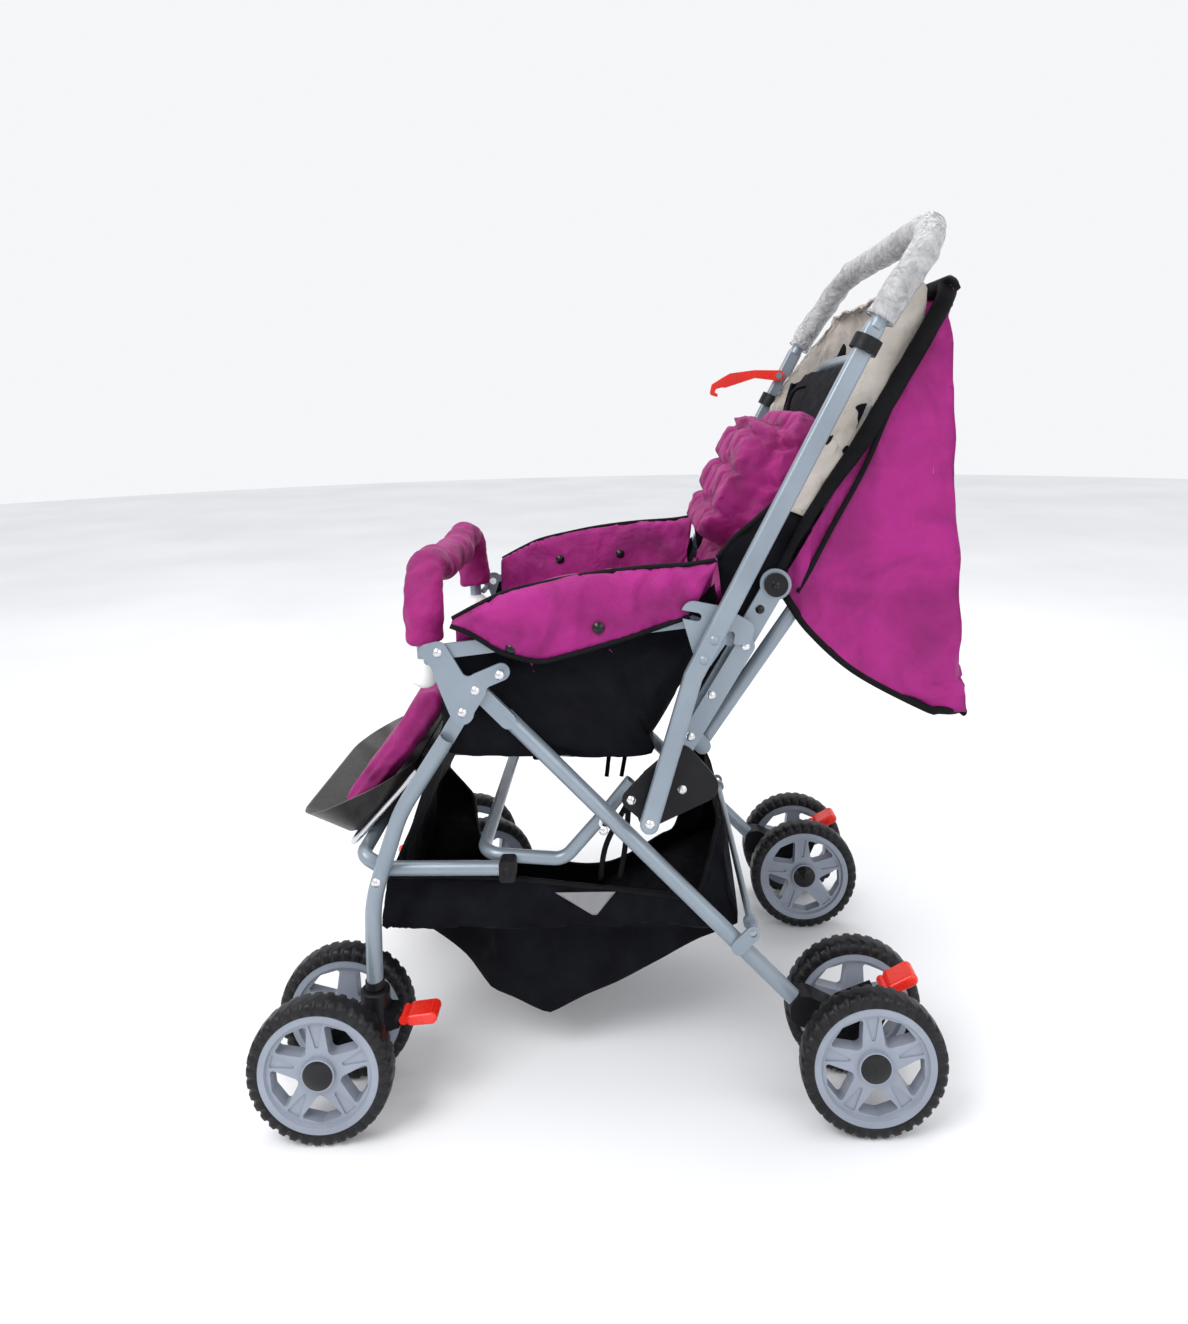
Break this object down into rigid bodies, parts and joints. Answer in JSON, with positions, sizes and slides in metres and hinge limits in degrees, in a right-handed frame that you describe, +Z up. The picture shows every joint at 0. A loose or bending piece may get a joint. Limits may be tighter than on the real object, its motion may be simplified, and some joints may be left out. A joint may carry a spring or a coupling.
{
  "type": "folding stroller",
  "caption": "Folding pushchair with twin wheels at each corner, reversible push handle, reclining padded seat, bumper bar, foot tray, basket and folded-back canopy.",
  "frame": {"origin": "centre of the overall box, on the floor", "axes": "+Z up, -Y is the front, +X is the stroller's left side"},
  "size_m": [0.549, 0.784, 0.975],
  "materials": {
    "frame_silver": "satin anodised, blue-grey",
    "steel_bright": "polished rivets and pins",
    "black_plastic": "fine grained black plastic",
    "black_gloss": "glossy black caps",
    "white_plastic": "white plastic",
    "rim_grey": "light blue-grey plastic",
    "tyre_black": "black foam rubber",
    "grip_foam": "black foam",
    "magenta_fabric": "satin magenta cloth",
    "black_fabric": "black woven cloth",
    "pad_fabric": "quilted magenta cloth",
    "red_plastic": "red plastic"
  },
  "bodies": {
    "front_frame": {"front_legs": "frame_silver", "front_plates": "frame_silver", "leg_stems": "black_plastic", "frame_rivets": "steel_bright", "bumper_bar": "frame_silver", "bumper_cover": "magenta_fabric", "bumper_knobs": "white_plastic", "tray": "black_plastic", "foot_frame": "frame_silver", "foot_pad": "magenta_fabric", "basket": "black_fabric"},
    "caster_left": {"fork_front_left": "black_plastic", "axle_front_left": "black_gloss"},
    "caster_right": {"fork_front_right": "black_plastic", "axle_front_right": "black_gloss"},
    "rear_frame": {"rear_legs": "frame_silver", "rear_brackets": "black_plastic", "rear_axles": "black_gloss", "rear_leg_rivets": "steel_bright"},
    "lower_front_link": {"front_link": "frame_silver", "link_clamps": "black_plastic"},
    "lower_rear_link": {"rear_link": "frame_silver"},
    "seat": {"seat_frame": "frame_silver", "seat_shell": "black_fabric", "seat_cushion": "pad_fabric"},
    "rear_unit": {"upright_bars": "frame_silver", "main_brackets": "black_plastic", "bracket_bolts": "steel_bright"},
    "back": {"back_frame": "frame_silver", "back_bars": "frame_silver", "back_panel": "black_fabric", "back_pad": "pad_fabric", "canopy_hubs": "black_gloss"},
    "canopy": {"canopy_hoops": "steel_bright", "canopy_shell": "magenta_fabric"},
    "handle": {"handle_tube": "frame_silver", "handle_grip": "grip_foam", "handle_collars": "black_plastic", "latch_plates": "frame_silver"},
    "lever": {"release_lever": "red_plastic"},
    "wheel_front_left_1": {"tyre_front_left_1": "tyre_black", "rim_front_left_1": "rim_grey"},
    "wheel_front_left_2": {"tyre_front_left_2": "tyre_black", "rim_front_left_2": "rim_grey"},
    "pedal_body_front_left": {"pedal_front_left": "red_plastic"},
    "wheel_front_right_1": {"tyre_front_right_1": "tyre_black", "rim_front_right_1": "rim_grey"},
    "wheel_front_right_2": {"tyre_front_right_2": "tyre_black", "rim_front_right_2": "rim_grey"},
    "pedal_body_front_right": {"pedal_front_right": "red_plastic"},
    "wheel_rear_left_1": {"tyre_rear_left_1": "tyre_black", "rim_rear_left_1": "rim_grey"},
    "wheel_rear_left_2": {"tyre_rear_left_2": "tyre_black", "rim_rear_left_2": "rim_grey"},
    "pedal_body_rear_left": {"pedal_rear_left": "red_plastic"},
    "wheel_rear_right_1": {"tyre_rear_right_1": "tyre_black", "rim_rear_right_1": "rim_grey"},
    "wheel_rear_right_2": {"tyre_rear_right_2": "tyre_black", "rim_rear_right_2": "rim_grey"},
    "pedal_body_rear_right": {"pedal_rear_right": "red_plastic"}
  },
  "joints": [
    {"name": "caster_left_swivel", "type": "hinge", "parent": "front_frame", "child": "caster_left", "pos_m": [0.2127, -0.2685, 0.12], "axis": [0, 0, 1], "continuous": true},
    {"name": "caster_right_swivel", "type": "hinge", "parent": "front_frame", "child": "caster_right", "pos_m": [-0.1733, -0.2685, 0.12], "axis": [0, 0, 1], "continuous": true},
    {"name": "wheel_front_left_1_spin", "type": "hinge", "parent": "caster_left", "child": "wheel_front_left_1", "pos_m": [0.25945, -0.3145, 0.0775], "axis": [1, 0, 0], "continuous": true},
    {"name": "wheel_front_left_2_spin", "type": "hinge", "parent": "caster_left", "child": "wheel_front_left_2", "pos_m": [0.16595, -0.3145, 0.0775], "axis": [1, 0, 0], "continuous": true},
    {"name": "pedal_front_left_tilt", "type": "hinge", "parent": "caster_left", "child": "pedal_body_front_left", "pos_m": [0.2127, -0.2355, 0.103], "axis": [1, 0, 0], "range_deg": [-12, 0]},
    {"name": "wheel_front_right_1_spin", "type": "hinge", "parent": "caster_right", "child": "wheel_front_right_1", "pos_m": [-0.23427, -0.24432, 0.0775], "axis": [-0.9212, -0.3891, 0], "continuous": true},
    {"name": "wheel_front_right_2_spin", "type": "hinge", "parent": "caster_right", "child": "wheel_front_right_2", "pos_m": [-0.14813, -0.20793, 0.0775], "axis": [-0.9212, -0.3891, 0], "continuous": true},
    {"name": "pedal_front_right_tilt", "type": "hinge", "parent": "caster_right", "child": "pedal_body_front_right", "pos_m": [-0.16046, -0.2989, 0.103], "axis": [-0.9212, -0.3891, 0], "range_deg": [-12, 0]},
    {"name": "wheel_rear_left_1_spin", "type": "hinge", "parent": "rear_frame", "child": "wheel_rear_left_1", "pos_m": [0.25945, 0.2693, 0.0775], "axis": [1, 0, 0], "continuous": true},
    {"name": "wheel_rear_left_2_spin", "type": "hinge", "parent": "rear_frame", "child": "wheel_rear_left_2", "pos_m": [0.16595, 0.2693, 0.0775], "axis": [1, 0, 0], "continuous": true},
    {"name": "pedal_rear_left_tilt", "type": "hinge", "parent": "rear_frame", "child": "pedal_body_rear_left", "pos_m": [0.2127, 0.2935, 0.128], "axis": [1, 0, 0], "range_deg": [-16, 0]},
    {"name": "wheel_rear_right_1_spin", "type": "hinge", "parent": "rear_frame", "child": "wheel_rear_right_1", "pos_m": [-0.12655, 0.2693, 0.0775], "axis": [1, 0, 0], "continuous": true},
    {"name": "wheel_rear_right_2_spin", "type": "hinge", "parent": "rear_frame", "child": "wheel_rear_right_2", "pos_m": [-0.22005, 0.2693, 0.0775], "axis": [1, 0, 0], "continuous": true},
    {"name": "pedal_rear_right_tilt", "type": "hinge", "parent": "rear_frame", "child": "pedal_body_rear_right", "pos_m": [-0.1733, 0.2935, 0.128], "axis": [1, 0, 0], "range_deg": [-16, 0]},
    {"name": "fold", "type": "hinge", "parent": "front_frame", "child": "rear_frame", "pos_m": [0.0197, -0.1471, 0.4683], "axis": [-1, 0, 0], "range_deg": [0, 22], "deforming": ["basket", "seat_shell", "foot_pad"]},
    {"name": "front_link_fold", "type": "hinge", "parent": "front_frame", "child": "lower_front_link", "pos_m": [0.0197, -0.2619, 0.2561], "axis": [-1, 0, 0], "range_deg": [0, 38]},
    {"name": "rear_link_fold", "type": "hinge", "parent": "rear_frame", "child": "lower_rear_link", "pos_m": [0.0197, -0.0113, 0.3107], "axis": [1, 0, 0], "range_deg": [0, 52.08]},
    {"name": "seat_fold", "type": "hinge", "parent": "front_frame", "child": "seat", "pos_m": [0.0197, -0.187, 0.5104], "axis": [-1, 0, 0], "range_deg": [0, 22.16]},
    {"name": "rear_unit_fold", "type": "hinge", "parent": "seat", "child": "rear_unit", "pos_m": [0.0197, 0.1448, 0.5132], "axis": [-1, 0, 0], "range_deg": [0, 11.38]},
    {"name": "recline", "type": "hinge", "parent": "rear_unit", "child": "back", "pos_m": [0.0197, 0.0842, 0.416], "axis": [1, 0, 0], "range_deg": [-30, 0]},
    {"name": "canopy_swing", "type": "hinge", "parent": "back", "child": "canopy", "pos_m": [0.0197, 0.18, 0.5765], "axis": [1, 0, 0], "range_deg": [0, 85], "deforming": ["canopy_shell"]},
    {"name": "handle_reverse", "type": "hinge", "parent": "rear_unit", "child": "handle", "pos_m": [0.0197, 0.0389, 0.331], "axis": [1, 0, 0], "range_deg": [0, 59]},
    {"name": "release_lever_lift", "type": "hinge", "parent": "handle", "child": "lever", "pos_m": [-0.2063, 0.2545, 0.815], "axis": [1, 0, 0], "range_deg": [0, 20]}
  ],
  "couplings": [
    {"joint": "front_link_fold", "follows": "fold", "ratio": 1.7},
    {"joint": "rear_link_fold", "follows": "fold", "ratio": 2.34},
    {"joint": "seat_fold", "follows": "fold", "ratio": 0.98},
    {"joint": "rear_unit_fold", "follows": "fold", "ratio": 0.49}
  ]
}
